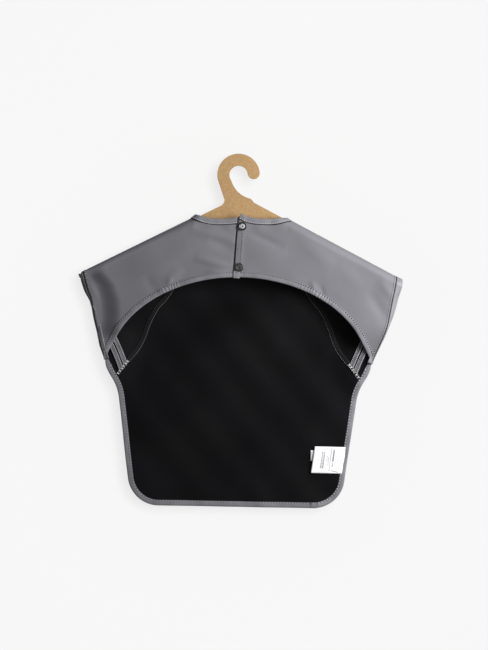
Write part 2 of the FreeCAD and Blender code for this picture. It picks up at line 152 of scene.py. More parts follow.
def half_depth(u, v):
    """Depth of the smooth form, which rounds over the shoulder and flattens at the sleeve's tip."""
    d = np.minimum(fold_distance(u, v) / FOLD_R, 1)
    h = FOLD_R * np.sqrt(np.maximum(0, 1 - (1 - d) ** 2))
    reach = np.hypot(np.abs(u) - TIP[0], v - TIP[1])
    return h * (TIP_FLAT + (1 - TIP_FLAT) * smooth(reach / TIP_REACH))


def waves(u, v, terms):
    """Sum of plane waves, each (height, length, angle, start)."""
    total = 0
    for height, length, angle, start in terms:
        a = math.radians(angle)
        total = total + height * np.sin((u * math.cos(a) + v * math.sin(a)) * 2 * math.pi / length + start)
    return total


def ridge(u, v, a, b, width, height):
    """Soft fold along a straight run, fading at its ends."""
    du, dv = b[0] - a[0], b[1] - a[1]
    length = math.hypot(du, dv)
    t = ((u - a[0]) * du + (v - a[1]) * dv) / length ** 2
    off = ((u - a[0]) * dv - (v - a[1]) * du) / length
    return height * np.exp(-(off / width) ** 2) * np.sin(math.pi * np.clip(t, 0, 1))


def arch_polar(u, v):
    """Distance outside the open back's edge, and how far round it, both near enough in millimetres."""
    p, q = u / ARCH_HALF, (v - ARCH_MID) / ARCH_RISE
    return (np.hypot(p, q) - 1) * ARCH_OUT, np.arctan2(p, -q) * ARCH_ROUND


CREASE = [(-181.0, 66.0), (-166.0, 84.0), (-160.0, 102.0), (-158.0, 122.0), (-161.0, 150.0)]
# soft folds of the back: start, end, width and height
FOLDS = [
    ((-8, 60), (-58, 48), 5, 1.5), ((-10, 66), (-44, 66), 3.2, 1.1), ((-4, 26), (-66, 12), 6, 1.3),
    ((-2, 40), (-40, 24), 7, -1), ((-70, 60), (-96, 84), 7, 0.9), ((-120, 70), (-100, 96), 7, -0.8),
    ((-60, 34), (-110, 66), 10, 0.6), ((6, 14), (56, 34), 5, -1), ((10, 44), (60, 40), 8, 0.6),
    ((172, 70), (196, 100), 6, 0.9), ((160, 84), (188, 128), 7, -0.9), ((70, 20), (120, 60), 9, 0.7),
    ((-90, 84), (-84, 72), 3, 0.7), ((94, 90), (90, 74), 3, 0.9), ((106, 96), (100, 78), 3, -0.7),
    ((-190, 78), (-176, 104), 4, 0.7), ((118, 52), (160, 90), 10, 0.6)]


def back_relief(u, v):
    """How far the back stands proud, from the way it hangs and from its seams."""
    r = waves(u, v, [(0.30, 96, 20, 0.4), (0.22, 61, -35, 1.9), (0.12, 37, 65, 0.2)])
    for a, b, width, height in FOLDS:
        r = r + ridge(u, v, a, b, width, height)
    # the left sleeve drops back past its crease, and the whole left half lies a little deeper
    beyond = np.interp(v, [p[1] for p in CREASE], [p[0] for p in CREASE]) - u
    r = r - 6.6 * smooth((beyond + 12) / 26) * smooth((176 - v) / 40) - 4.6 * smooth((-u - 20) / 140)
    # puckers beside the bindings of the open back and the neck
    out, turn = arch_polar(u, v)
    pull = 0.26 * np.sin(turn / 9.5 + 1.4 * np.sin(turn / 31)) + 0.14 * np.sin(turn / 4.3 + 0.7)
    r = r + pull * np.exp(-((out - 8) / 7.0) ** 2) * (0.6 + 0.5 * np.sin(turn / 47 + 1))
    r = r + 0.22 * np.sin(u / 3.4 + 0.8 * np.sin(u / 13)) * np.exp(-((v - 9) / 5.0) ** 2) * (np.abs(u) < 60)
    # the placket stands proud by the strip folded inside it
    inset = u - edge_u(v)
    strip = np.where(inset > -0.5, smooth((11.5 - inset) / 4.0), 0)
    return r + strip * (0.34 + 0.07 * np.sin(v / 1.5 + np.sin(v / 7)) * smooth((9.0 - inset) / 3))


def front_relief(u, v):
    """How far the front stands proud: broad waves, and puckers along the hem."""
    r = waves(u, v, [(2.1, 150, 38, 0.9), (1.1, 83, 62, 2.2), (0.5, 47, -40, 0.5), (0.5, 110, 95, 0.3)])
    edge = np.exp(-((v - 345) / 14) ** 2) * 0.35 * np.sin(u / 7.5 + 1.2 * np.sin(u / 23))
    return (r - 1.0) * smooth((v - 20) / 60) + edge


def edge_u(v):
    """Free edge of the upper placket."""
    return -3.5 - 0.063 * v


def depth_of(layer, u, v):
    """Depth of the middle of the cloth. Layers: right, left and front."""
    u, v = np.asarray(u, float), np.asarray(v, float)
    from_tip = np.hypot(np.abs(u) - TIP[0], v - TIP[1])
    fade = np.clip(fold_distance(u, v) / 9, 0, 1) * smooth((from_tip - 4) / 30)
    if layer == "front":
        return half_depth(u, v) + fade * front_relief(u, v)
    y = -half_depth(u, v) - fade * back_relief(u, v)
    if layer == "left":
        under = smooth((u - edge_u(v) + 2.5) / 10.5)
        y = y * (1 - under) + UNDERLAP_Y * under
    return y


def laid(layer, line):
    """Flat points laid on a layer, as (x, y, z) millimetres in the bib's own layout."""
    line = np.asarray(line, float)
    return np.stack([line[:, 0], depth_of(layer, line[:, 0], line[:, 1]), -line[:, 1]], axis=1)


def normals(layer, line):
    """Directions out of the cloth at flat points on a layer."""
    line = np.asarray(line, float)
    u, v = line[:, 0], line[:, 1]
    e = 0.15
    du = (depth_of(layer, u + e, v) - depth_of(layer, u - e, v)) / (2 * e)
    dv = (depth_of(layer, u, v + e) - depth_of(layer, u, v - e)) / (2 * e)
    n = np.stack([-du, np.ones(len(u)), dv], axis=1)
    n = n if layer == "front" else -n
    return units(n)


# ------------ mesh helpers

def world(points):
    """From the bib's own layout to the frame, in metres."""
    p = np.asarray(points, float)
    return (p + np.array([CENTRE_X, 0, NECK_Z])) * MM


def placed(name, data):
    piece = bpy.data.objects.new(name, data)
    bpy.context.scene.collection.objects.link(piece)
    return piece


def mesh_piece(name, points, faces, materials, slots=None):
    """Smooth mesh from points in the bib's own layout; slots gives each face its material's index."""
    data = bpy.data.meshes.new(name)
    data.from_pydata([tuple(p) for p in world(points)], [], [tuple(f) for f in faces])
    for m in materials:
        data.materials.append(m)
    if slots is not None:
        data.polygons.foreach_set("material_index", slots)
    data.polygons.foreach_set("use_smooth", [True] * len(data.polygons))
    data.update()
    return placed(name, data)


def grid_faces(rows, cols, first=0, flip=False):
    """Quads of a grid whose points start at an index."""
    faces = []
    for i in range(rows - 1):
        for j in range(cols - 1):
            a = first + i * cols + j
            quad = (a, a + 1, a + cols + 1, a + cols)
            faces.append(quad[::-1] if flip else quad)
    return faces


def coons(top, bottom, left, right):
    """Patch between four edges, given as rows of flat points, and spaced as left and top are."""
    s, t = distances(left), distances(top)
    s = (s / s[-1])[:, None, None]
    t = (t / t[-1])[None, :, None]
    ruled = (1 - s) * top[None] + s * bottom[None] + (1 - t) * left[:, None] + t * right[:, None]
    corners = (1 - s) * ((1 - t) * top[0] + t * top[-1]) + s * ((1 - t) * bottom[0] + t * bottom[-1])
    return ruled - corners


def welded(piece, reach=0.02):
    """Joins the points that two patches share."""
    modifier = piece.modifiers.new("weld", "WELD")
    modifier.merge_threshold = reach * MM
    bpy.context.view_layer.update()
    depsgraph = bpy.context.evaluated_depsgraph_get()
    done = bpy.data.meshes.new_from_object(piece.evaluated_get(depsgraph))
    piece.modifiers.clear()
    piece.data = done
    return piece


def thickened(piece, thickness=CLOTH):
    """Coated face outside, the second material inside."""
    modifier = piece.modifiers.new("cloth", "SOLIDIFY")
    modifier.thickness = thickness * MM
    modifier.offset = 0
    modifier.material_offset = 1
    modifier.use_even_offset = False
    return piece


def track(points, normal, hint):
    """Frames along a line: its direction, the way in across the strip, and the way out of the cloth."""
    points = np.asarray(points, float)
    ahead = units(np.gradient(points, axis=0))
    normal = units(normal - (normal * ahead).sum(1, keepdims=True) * ahead)
    across = np.cross(normal, ahead)
    across *= np.where((across * hint).sum(1) < 0, -1, 1)[:, None]
    return {"at": points, "ahead": ahead, "across": across, "out": normal}


def layer_track(layer, line, inward):
    """Track on a layer; inward gives the flat direction into the cloth at each point."""
    inward = np.broadcast_to(np.asarray(inward, float), (len(line), 2))
    hint = np.stack([inward[:, 0], np.zeros(len(line)), -inward[:, 1]], axis=1)
    return track(laid(layer, line), normals(layer, line), hint)


def part_of(run, keep):
    """Stretch of a track."""
    return {key: value[keep] for key, value in run.items()}


def sweep(name, run, section, materials, bend=None, puff=None, narrow=None):
    """Closed section, as (across, out) points, carried along a track. bend gives how far the strip turns
    away from the cloth's outside at each point, in radians; puff scales its thickness, narrow its width."""
    section = np.asarray(section, float)
    n, m = len(run["at"]), len(section)
    a = np.tile(section[:, 0], (n, 1))
    b = np.tile(section[:, 1], (n, 1))
    if puff is not None:
        b = b * puff[:, None]
    if narrow is not None:
        a = a * narrow[:, None]
    turn = np.zeros((n, m))
    x, z = a.copy(), np.zeros((n, m))
    if bend is not None:
        k = np.maximum(np.asarray(bend)[:, None], 1e-4) / BEND_WIDTH
        straight = np.maximum(a - BEND_WIDTH, 0)
        turn = k * np.clip(a, 0, BEND_WIDTH)
        x = np.sin(turn) / k + straight * np.cos(turn) + np.minimum(a, 0)
        z = -(1 - np.cos(turn)) / k - straight * np.sin(turn)
    x = x + b * np.sin(turn)
    z = z + b * np.cos(turn)
    points = run["at"][:, None] + x[..., None] * run["across"][:, None] + z[..., None] * run["out"][:, None]
    faces = []
    for i in range(n - 1):
        for j in range(m):
            after = (j + 1) % m
            faces.append((i * m + j, i * m + after, (i + 1) * m + after, (i + 1) * m + j))
    faces.append(tuple(range(m))[::-1])
    faces.append(tuple((n - 1) * m + j for j in range(m)))
    piece = mesh_piece(name, points.reshape(-1, 3), faces, materials)
    outward(piece)
    return piece


def outward(piece):
    """Turns every face of a closed piece to the outside."""
    work = bmesh.new()
    work.from_mesh(piece.data)
    bmesh.ops.recalc_face_normals(work, faces=work.faces)
    work.to_mesh(piece.data)
    work.free()


def binding_section(width=BIND):
    """Folded strip round the edge of a cloth, with a sewn channel near its inner edge."""
    face = [(width, 0.35), (width - 0.1, 0.84), (width - 0.4, 0.945), (width - 0.7, 0.756),
            (width - 1.1, 0.609), (width - 1.6, 0.777), (width - 2.3, 0.945), (width * 0.45, 1.008),
            (width * 0.2, 0.987), (0.1, 0.903), (-0.5 * BIND_WRAP, 0.63)]
    under = [(a, -b) for a, b in face[::-1]]
    return face + [(-BIND_WRAP, 0.0)] + under


def stitches(name, run, inset, lift, material, pitch=2.9, length=1.7, radius=0.42, hole=None, lean=0.0):
    """Row of short threads along a track; where hole gives a material, a flat bead after each thread,
    coloured as painted shade, marks the pit that the thread goes into.
    inset moves the row into the cloth, lift off it, and lean turns each thread, in radians."""
    line = run["at"] + inset * run["across"] + lift * run["out"]
    step = distances(line)
    count = max(2, int(step[-1] / pitch))
    share = step[-1] / count
    points, faces, slots = [], [], []

    def at(distance):
        mid = np.array([np.interp(distance, step, line[:, k]) for k in range(3)])
        axes = [np.array([np.interp(distance, step, run[key][:, k]) for k in range(3)])
                for key in ("ahead", "across", "out")]
        return mid, [axis / np.linalg.norm(axis) for axis in axes]

    def bead(mid, axes, half, wide, flat, slot):
        ring = 6
        first = len(points)
        for along, r in ((-1.0, 0.0), (-0.72, 0.75), (0.0, 1.0), (0.72, 0.75), (1.0, 0.0)):
            middle = mid + along * half * axes[0]
            for k in range(ring if r else 1):
                a = 2 * math.pi * k / ring
                points.append(middle + r * wide * (math.cos(a) * axes[1] + flat * math.sin(a) * axes[2]))
        for k in range(ring):
            after = (k + 1) % ring
            faces.append((first, first + 1 + after, first + 1 + k))
            for band in range(2):
                a = first + 1 + band * ring
                faces.append((a + k, a + after, a + ring + after, a + ring + k))
            a = first + 1 + 2 * ring
            faces.append((a + k, a + after, a + ring))
        slots.extend([slot] * (ring * 4))

    for i in range(count):
        mid, axes = at((i + 0.5) * share)
        if lean:
            ahead, across, out = axes
            axes = [math.cos(lean) * ahead + math.sin(lean) * across,
                    math.cos(lean) * across - math.sin(lean) * ahead, out]
        bead(mid, axes, length / 2, radius, 0.8, 0)
        if hole is not None:
            mid, axes = at((i + 1) * share)
            bead(mid - 0.02 * axes[2], axes, 0.95, 0.5, 0.6, 1)
    return mesh_piece(name, points, faces, [material] if hole is None else [material, hole], slots)


def lathe(name, u, v, y, outline, materials, ring=40, face=-1):
    """Round part from (radius, height) steps, standing out at the back, or at the front with face 1."""
    points, faces = [], []
    for r, h in outline:
        for k in range(ring):
            a = 2 * math.pi * k / ring
            points.append((u + r * math.cos(a), y + face * h, -v + r * math.sin(a)))
    for i in range(len(outline) - 1):
        for k in range(ring):
            after = (k + 1) % ring
            faces.append((i * ring + k, i * ring + after, (i + 1) * ring + after, (i + 1) * ring + k))
    faces.append(tuple(range(ring)))
    faces.append(tuple((len(outline) - 1) * ring + k for k in range(ring))[::-1])
    piece = mesh_piece(name, points, faces, materials)
    outward(piece)
    return piece


# ------------ materials

def srgb(r, g, b):
    """Linear colour from screen values."""
    linear = [c / 255 / 12.92 if c <= 10 else ((c / 255 + 0.055) / 1.055) ** 2.4 for c in (r, g, b)]
    return (*linear, 1.0)


def fill(made, inputs):
    for key, value in inputs.items():
        made.inputs[key.replace("_", " ")].default_value = value


def node(tree, kind, **inputs):
    made = tree.nodes.new("ShaderNode" + kind)
    fill(made, inputs)
    return made


def material(name, dark, light, blotch, roughness, bumps, **sockets):
    """Principled finish: a colour that drifts between two tones, and bump from noise or weave layers.
    blotch is (scale, detail); bumps are (kind, scale, height in mm); sockets are the shader's own."""
    m = bpy.data.materials.new(name)
    m.use_nodes = True
    tree, link = m.node_tree, m.node_tree.links.new
    shader = tree.nodes["Principled BSDF"]
    place = node(tree, "TexCoord").outputs["Object"]
    noise = node(tree, "TexNoise", Scale=blotch[0], Detail=blotch[1])
    link(place, noise.inputs["Vector"])
    ramp = node(tree, "ValToRGB")
    for element, position, colour in zip(ramp.color_ramp.elements, (0.3, 0.7), (dark, light)):
        element.position = position
        element.color = colour
    link(noise.outputs["Fac"], ramp.inputs["Fac"])
    link(ramp.outputs["Color"], shader.inputs["Base Color"])
    rough = node(tree, "MapRange", To_Min=roughness[0], To_Max=roughness[1])
    link(noise.outputs["Fac"], rough.inputs["Value"])
    link(rough.outputs["Result"], shader.inputs["Roughness"])
    normal = None
    for kind, scale, height in bumps:
        if kind == "noise":
            value = node(tree, "TexNoise", Scale=scale, Detail=3)
        elif kind == "grain":
            value = node(tree, "TexVoronoi", Scale=scale)
        else:
            value = node(tree, "TexWave", Scale=scale, Distortion=1.2, Detail=1)
            value.bands_direction = kind
        link(place, value.inputs["Vector"])
        bump = node(tree, "Bump", Distance=height * MM, Strength=0.7)
        link(value.outputs["Distance" if kind == "grain" else "Fac"], bump.inputs["Height"])
        if normal is not None:
            link(normal, bump.inputs["Normal"])
        normal = bump.outputs["Normal"]
    link(normal, shader.inputs["Normal"])
    fill(shader, sockets)
    return m


COATED = material("coated_fabric_grey", srgb(102, 101, 106), srgb(108, 107, 112), (9, 3), (0.54, 0.64),
                  [("noise", 26, 0.6), ("grain", 1100, 0.05), ("noise", 2600, 0.03)], Specular_IOR_Level=0.3)
EDGING = material("binding_grey", srgb(104, 103, 108), srgb(120, 119, 124), (60, 3), (0.42, 0.55),
                  [("noise", 190, 0.3), ("grain", 1300, 0.05)], Specular_IOR_Level=0.3)
# Binding grey darkened as painted shade, for the strips turned in under the arms.
SHADED = material("strip_grey", srgb(74, 73, 77), srgb(96, 95, 100), (90, 3), (0.5, 0.62),
                  [("noise", 190, 0.3), ("grain", 1300, 0.05)], Specular_IOR_Level=0.3)
LINING = material("knit_black", srgb(3, 3, 4), srgb(8, 8, 11), (14, 4), (0.54, 0.66),
                  [("X", 260, 0.10), ("Z", 330, 0.06), ("noise", 30, 0.5)],
                  Specular_IOR_Level=0.07, Sheen_Weight=0.02, Sheen_Roughness=0.5)
# Black knit tape of the raglan seams; the same black also makes thin strips of painted shadow along the neck
# binding, the sleeve hems and the placket.
TAPE_AND_SHADOW = material("knit_tape_black_and_painted_shadow", srgb(6, 6, 7), srgb(13, 13, 15), (90, 3), (0.6, 0.8),
                [("X", 420, 0.12), ("noise", 700, 0.08)], Specular_IOR_Level=0.12)
THREAD, LIGHT_THREAD, DIM_THREAD, DARK_THREAD, WHITE_THREAD = [
    material("thread_" + tone, srgb(*dark), srgb(*light), (scale, 2), roughness, [("noise", 5200, 0.05)])
    for tone, dark, light, scale, roughness in (
        ("grey", (168, 168, 171), (200, 200, 203), 800, (0.5, 0.7)),
        ("light", (176, 176, 180), (212, 212, 215), 800, (0.5, 0.7)),
        ("dim", (96, 96, 99), (124, 124, 127), 800, (0.5, 0.7)),
        ("dark", (24, 24, 26), (38, 38, 41), 800, (0.5, 0.7)),
        ("white", (205, 206, 206), (236, 236, 238), 700, (0.55, 0.75)))]
# Beads in the stitch pits: painted shade, mid-grey and dark.
PIT_SHADE_GREY = material("needle_hole_grey", srgb(52, 52, 55), srgb(66, 66, 70), (900, 2), (0.8, 0.9),
                     [("noise", 3000, 0.02)])
PIT_SHADE = material("needle_hole", srgb(16, 16, 18), srgb(30, 30, 32), (900, 2), (0.8, 0.9),
                [("noise", 3000, 0.02)])
SNAP, SNAP_FACE, SNAP_BALL = [
    material("snap_plastic_" + part, srgb(*dark), srgb(*light), (scale, 2), (0.30, 0.42),
             [("noise", 900, 0.02)], Specular_IOR_Level=0.5)
    for part, dark, light, scale in (
        ("dark", (22, 22, 24), (32, 32, 35), 160),
        ("face", (150, 150, 154), (176, 176, 180), 260),
        ("ball", (40, 40, 43), (62, 62, 66), 260))]
RIBBON = material("label_ribbon", srgb(224, 223, 226), srgb(236, 235, 237), (50, 3), (0.45, 0.6),
                  [("X", 900, 0.03), ("Z", 900, 0.03)], Specular_IOR_Level=0.4)
PRINT = material("label_print", srgb(58, 60, 64), srgb(84, 86, 90), (900, 3), (0.7, 0.8),
                 [("noise", 1500, 0.02)])
KRAFT = material("kraft_card", srgb(153, 121, 82), srgb(170, 139, 98), (420, 6), (0.72, 0.88),
                 [("noise", 1400, 0.06), ("noise", 160, 0.10)], Specular_IOR_Level=0.25)


# ------------ outlines

SEAM = {
    1: [(195.6, 67.3), (193.4, 82), (190.6, 96.4), (188, 112), (184.8, 128.7), (178.9, 145.4),
        (172, 162), TIP],
    -1: [(195.6, 67.3), (192.6, 80), (189.6, 89.8), (185.8, 100), (182.6, 112), (180, 125.5), (175.8, 143),
         (172.2, 158.5), (167.8, 171.5), TIP],
}
NECK_LINE = {
    1: [(0.2, -7.2), (4.4, -5.3), (8.6, -3.4), (18, -1.6), (31.7, -1.0), (44, -1.7), (52, -2.7),
        NECK_CORNER[1]],
    -1: [(UNDERLAP_U, -1.9), (-3, -1.9), (2.6, -1.9), (14, -0.6), (30.8, 0.0), (42, -1.4), (50, -3.6),
         NECK_CORNER[-1]],
}
FRONT_NECK = {
    1: [(0, FRONT_NECK_DROP - 2), (18, 40.0), (36, 34.6), (50, 23.4), (56.6, 9.5), NECK_CORNER[1]],
    -1: [(0, FRONT_NECK_DROP - 2), (18, 40.0), (36, 34.6), (50, 23.2), (56.4, 8.5), NECK_CORNER[-1]],
}
RAGLAN = [(57.2, 14.0), (66, 42), (79, 76), (92, 98), (103, 111), (113, 130), (118.5, 146), (126, 162)]
RAGLAN_CUT = 0.53  # how far down the side line the sleeve and its raglan seam reach
UNDERARM = [(139, 178.5), (150.5, 193.6)]  # the overlocked seam, near the raglan seam's lower end
RAGLAN += UNDERARM + [(156.6, 200.8)]


def evenly(line, count):
    """Evenly spaced points along a line."""
    return spaced(line, np.linspace(0, 1, count))


def on_side(points, side):
    """Flat points of the right half, mirrored for the left one."""
    return np.asarray(points, float) * np.array([side, 1.0])


def arch_line(side, count):
    """Edge of one half of the open back, from the placket to the sleeve's lower end, in the right half's
    place."""
    start = edge_u(PLACKET_FOOT) if side > 0 else UNDERLAP_U
    turn = np.linspace(math.asin(start / ARCH_HALF), ARCH_END, count)
    flare_from = 1.2
    u = ARCH_HALF * np.sin(turn) + 3.2 * smooth((turn - flare_from) / (ARCH_END - flare_from))
    v = ARCH_MID - ARCH_RISE * np.cos(turn)
    return np.stack([u, v], axis=1)


def side_line(count, first=0.0):
    """Front panel's edge from the sleeve's end to the straight side."""
    t = np.linspace(first, 1, count)[:, None]
    a, b, c, d = [np.array(p) for p in (TIP, (164, 197), (151, 199), SIDE_TOP)]
    return (1 - t) ** 3 * a + 3 * (1 - t) ** 2 * t * b + 3 * (1 - t) * t ** 2 * c + t ** 3 * d


def hem_arc(count=24):
    """Round corner between the right side and the hem."""
    cross = np.array(HEM_CORNER)
    down = cross - SIDE_TOP
    down /= np.linalg.norm(down)
    turn = math.acos(np.dot(-down, (-1.0, 0.0)))
    tangent = HEM_CORNER_R / math.tan(turn / 2)
    begin, end = cross - down * tangent, cross + np.array((-tangent, 0.0))
    centre = begin + HEM_CORNER_R * np.array((-down[1], down[0]))
    first, last = [math.atan2(*(p - centre)[::-1]) for p in (begin, end)]
    return np.array([centre + HEM_CORNER_R * np.array((math.cos(a), math.sin(a)))
                     for a in np.linspace(first, last, count)])


# ------------ back halves with their sleeves

def row_shares(dense, rest, reach=0.13):
    """Rows from the shoulder down, closest where the cloth folds over it."""
    near = reach * np.linspace(0, 1, dense, endpoint=False) ** 2
    return np.concatenate([near, np.linspace(reach, 1, rest)])


def sleeve_cloth(side):
    """One sheet: the back half and cap sleeve, over the shoulder fold, to the raglan seam in front."""
    layer = "right" if side > 0 else "left"
    name = layer + "_sleeve_cloth"
    corner = np.array(NECK_CORNER[side])
    slope = COLLAR_SLOPE[side]
    fold_start = corner + 2.0 * np.array((math.cos(slope), math.sin(slope)))
    fold_line = np.vstack([fold_start, (NECK_HALF, 0.0), SEAM[side][0]])
    neck = np.array(NECK_LINE[side]) + (0, 2.0)
    neck[0] = (edge_u(-3.5), -4.0) if side > 0 else (UNDERLAP_U, 0.1)
    neck[-1] = fold_start
    neck_row = curve(neck, 46, 0.8)
    fold_row = evenly(fold_line, 84)
    top = np.vstack([neck_row[:-1], fold_row])
    shares = row_shares(9, 54)
    run = distances(top)
    bottom = spaced(arch_line(side, 400), run / run[-1])
    left = top[0] + (bottom[0] - top[0]) * shares[:, None]
    seam = spaced(curve(SEAM[side], 300), shares)
    flat = on_side(coons(top, bottom, left, seam), side)
    rows, cols = flat.shape[:2]
    points = laid(layer, flat.reshape(-1, 2))
    on_fold = fold_distance(flat[0, :, 0], flat[0, :, 1]) < 1e-6
    points[:cols, 1] = np.where(on_fold, 0, points[:cols, 1])
    faces = grid_faces(rows, cols, 0, side > 0)

    # front of the sleeve
    shares = row_shares(9, 70, 0.11)
    left = spaced(curve([fold_start, (58.9, 6), RAGLAN[0]], 60), shares)
    under_arm = side_line(200)[1:int(200 * RAGLAN_CUT)]
    right = spaced(np.vstack([curve(SEAM[side], 300), under_arm]), shares)
    run = distances(fold_row)
    bottom = spaced(curve(RAGLAN, 400), run / run[-1])
    bottom[-1] = right[-1]
    flat = on_side(coons(fold_row, bottom, left, right), side)
    rows, cols = flat.shape[:2]
    more = laid("front", flat.reshape(-1, 2))
    more[:cols, 1] = 0
    faces += grid_faces(rows, cols, len(points), side < 0)
    piece = mesh_piece(name, np.vstack([points, more]), faces, [COATED, LINING])
    return thickened(welded(piece))


def flap_blend(piece):
    """Bakes the piece's placement into its points, and bends nothing."""
    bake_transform(piece)


def skirt_blend(piece):
    """Bakes the piece's placement into its points, and bends nothing."""
    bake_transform(piece)


def front_cloth():
    """Front panel from the neck and raglan seams to the hem, as two mirrored patches."""
    rows, cols = 150, 64
    arc = hem_arc()
    half = len(arc) // 2
    upper = np.vstack([curve(RAGLAN, 300), side_line(200, RAGLAN_CUT)[1:], arc[:half]])
    edge = evenly(upper, rows)
    top = curve([(0, FRONT_NECK_DROP), (18, 42.0), (37, 36.2), (51.5, 24.5), RAGLAN[0]], cols)
    hem = evenly(np.vstack([(0, HEM_DROP), arc[:half - 1:-1]]), cols)
    hem[-1] = edge[-1]
    middle = evenly(np.array([(0, FRONT_NECK_DROP), (0, HEM_DROP)]), rows)
    flat = coons(top, hem, middle, edge)
    points, faces = [], []
    for side in (1, -1):
        faces += grid_faces(rows, cols, len(points) * rows * cols, side < 0)
        points.append(laid("front", on_side(flat, side).reshape(-1, 2)))
    piece = mesh_piece("front_cloth", np.vstack(points), faces, [COATED, LINING])
    return thickened(welded(piece))


cloths = {side: sleeve_cloth(side) for side, word in SIDES}
front = front_cloth()
extras = {1: [], -1: [], "front": []}


def wobble(run, size=0.12, seed=0.0):
    """Uneven fullness along a strip."""
    s = distances(run["at"])
    return (1 + size * np.sin(s / 5.3 + seed) + 0.6 * size * np.sin(s / 2.3 + 1.7 * seed)
            + 0.5 * size * np.sin(s / 17 + seed))


def gathers(run, middle, spread, size):
    """Close pleats in a strip about the point at a distance from the centre line."""
    s = distances(run["at"])
    near = np.exp(-((np.abs(run["at"][:, 0]) - middle) / spread) ** 2)
    return size * near * np.sin(s / 0.62 + 0.9 * np.sin(s / 3.1))


def sewn(piece, group, body, stands_for=()):
    """Ties a piece to the body that carries it, or only bakes its placement where it lies at a bend between
    two, and lists it with its cloth.
    """
    if body == "flap bend":
        flap_blend(piece)
    elif body == "skirt bend":
        skirt_blend(piece)
    else:
        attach(piece, body)
    if stands_for:
        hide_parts(*stands_for)
    extras[group].append(piece)


def sewn_row(group, body, *row, stands_for=(), **look):
    """Row of grey stitches, tied up in the same way."""
    sewn(stitches(*row, **look), group, body, stands_for)


# ------------ bindings, hems and seams of each half

# where the arch binding is gathered: distance from the centre line, and spread
GATHERS = {1: (96.0, 20.0), -1: (84.0, 12.0)}
# how far the sleeve's hem has turned under: drops down its edge, and degrees
HEM_TURN = {1: ([67, 74, 96, 103, 129, 150, 177], [2, 10, 44, 50, 86, 150, 155]),
            -1: ([67, 80, 88, 96, 101, 125, 177], [50, 64, 70, 80, 92, 150, 155])}


def arch_binding(side, word):
    """Binding of one half of the open back, thinner towards the sleeve's lower end."""
    line = on_side(arch_line(side, 330), side)
    if side < 0:    # the left one tucks up under the placket
        line[:, 1] -= 1.6 * smooth((line[:, 0] + 8) / 5)
    run = layer_track(word, line, line - (0, ARCH_MID))
    taper = 1 - 0.62 * smooth((np.arange(len(line)) - 294) / 35)
    puff = (wobble(run, 0.13, side) + gathers(run, *GATHERS[side], 0.3)) * taper ** 0.5
    piece = sweep(word + "_arch_binding", run, binding_section(), [EDGING], puff=puff, narrow=taper)
    sewn(piece, side, "flap bend", (word + "_back_binding", word + "_half_binding"))
    sewn_row(side, "flap bend", word + "_arch_stitches", part_of(run, slice(310)), BIND_SEAM, 0.86, THREAD,
             pitch=3.3, length=1.0, radius=0.34, hole=PIT_SHADE)


def neck_edging(side, word):
    """Binding of the back half's neck, and a black strip along it: painted shadow under the binding's edge.
    """
    run = layer_track(word, on_side(curve(NECK_LINE[side], 110, 0.9), side), (0, 1))
    puff = wobble(run, 0.12, side + 3)
    piece = sweep(word + "_neck_edging", run, binding_section(NECK_BIND), [EDGING], puff=puff)
    sewn(piece, side, "flap bend", (word + "_neck_binding",))
    # black strip just past the binding's inner edge: painted shadow cast by the binding
    section = [(7.3, 0.2), (7.0, 0.75), (6.5, 0.8), (6.1, 0.5), (6.1, 0.1)]
    sewn(sweep(word + "_neck_seam", run, section, [TAPE_AND_SHADOW]), side, "flap bend")
    sewn_row(side, "flap bend", word + "_neck_stitches", run, NECK_SEAM, 0.85, LIGHT_THREAD)


def sleeve_hem(side, word):
    """Hem of the sleeve, which stands out at the shoulder and turns under below it."""
    down = on_side(curve(SEAM[side], 90, 1.6), side)
    back, ahead = layer_track(word, down[::-1], (side, 0)), layer_track("front", down[1:], (side, 0))
    at, out = [np.vstack([back[key], ahead[key]]) for key in ("at", "out")]
    run = track(at, out, np.tile((side, 0, 0), (len(at), 1)))
    v = -at[:, 2]
    narrow = 1 - 0.55 * smooth((v - 150) / 27)
    face = [(-0.2, 0.3), (0.5, 0.45), (1.2, 0.75), (2.0, 0.85), (2.8, 0.7), (3.6, 0.85), (5.0, 0.88),
            (7.6, 0.85), (8.7, 0.6)]
    section = face + [(9.0, 0.0)] + [(a, -b) for a, b in face[::-1]]
    piece = sweep(word + "_cuff_edging", run, section, [EDGING], puff=wobble(run, 0.1, side + 5) * narrow,
                  bend=np.radians(np.interp(v, *HEM_TURN[side])))
    sewn(piece, side, "bib", (word + "_cuff_hem",))
    # black strip along the seam between cloth and hem: painted shade in the seam
    section = [(-0.45, 0.2), (-0.3, 0.62), (0.15, 0.72), (0.6, 0.6), (0.7, 0.2), (0.6, -0.55), (-0.3, -0.6)]
    sewn(sweep(word + "_cuff_seam", run, section, [TAPE_AND_SHADOW], puff=narrow), side, "bib")
    sewn_row(side, "bib", word + "_cuff_stitches", run, -2.2, 0.45, THREAD, pitch=2.7, length=1.3, radius=0.3,
             hole=PIT_SHADE)


